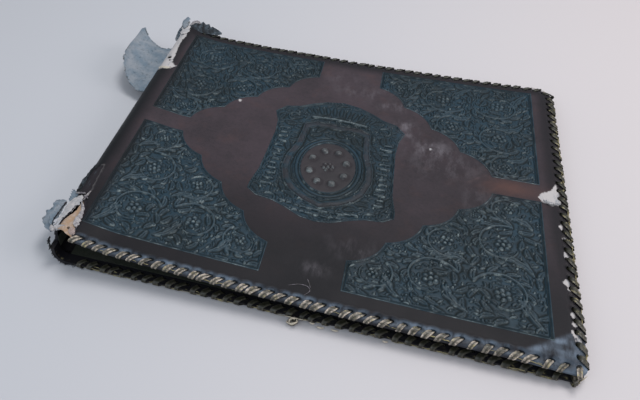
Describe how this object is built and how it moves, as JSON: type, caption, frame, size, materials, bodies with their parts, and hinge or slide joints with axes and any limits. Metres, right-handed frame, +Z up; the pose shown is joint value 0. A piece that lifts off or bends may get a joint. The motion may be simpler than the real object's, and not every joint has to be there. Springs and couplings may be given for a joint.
{
  "type": "photo album",
  "caption": "Worn leather photo album with tooled front cover, whipstitched edges, soft rounded back, inner boards, linings and a block of leaves; both covers open on the folds of the back.",
  "frame": {"origin": "middle of the rear cover's flat underside, on the surface that the album lies on", "axes": "+X from the back (spine) to the fore-edge, +Y from the tail to the head, +Z up out of the front cover"},
  "size_m": [0.3617, 0.2723, 0.029],
  "materials": {
    "tooled_hide": "dark purple-brown and blue-grey painted tooled leather, worn pale on the high places",
    "plain_hide": "plain dark leather, worn",
    "peeled_hide": "blue-grey fibrous flesh side where the grain has peeled off",
    "lacing": "flat leather thong, tan and brown, worn",
    "leatherboard": "tan pulp board, matt",
    "lining": "dark moss-green lining",
    "album_card": "dark album card, matt"
  },
  "bodies": {
    "root": {"rear_leather": "plain_hide", "rear_board": "leatherboard", "rear_lining": "lining", "rear_lacing": "lacing", "album_leaves": "album_card"},
    "spine": {"spine_leather": "peeled_hide", "spine_lining": "lining"},
    "front_cover": {"front_leather": "tooled_hide", "front_board": "leatherboard", "front_lining": "lining", "front_lacing": "lacing"}
  },
  "joints": [
    {"name": "spine_hinge", "type": "hinge", "parent": "root", "child": "spine", "pos_m": [-0.16, 0, 0.01], "axis": [0, -1, 0], "range_deg": [0, 30]},
    {"name": "front_cover_hinge", "type": "hinge", "parent": "spine", "child": "front_cover", "pos_m": [-0.16, 0, 0.019], "axis": [0, -1, 0], "range_deg": [0, 150]}
  ]
}
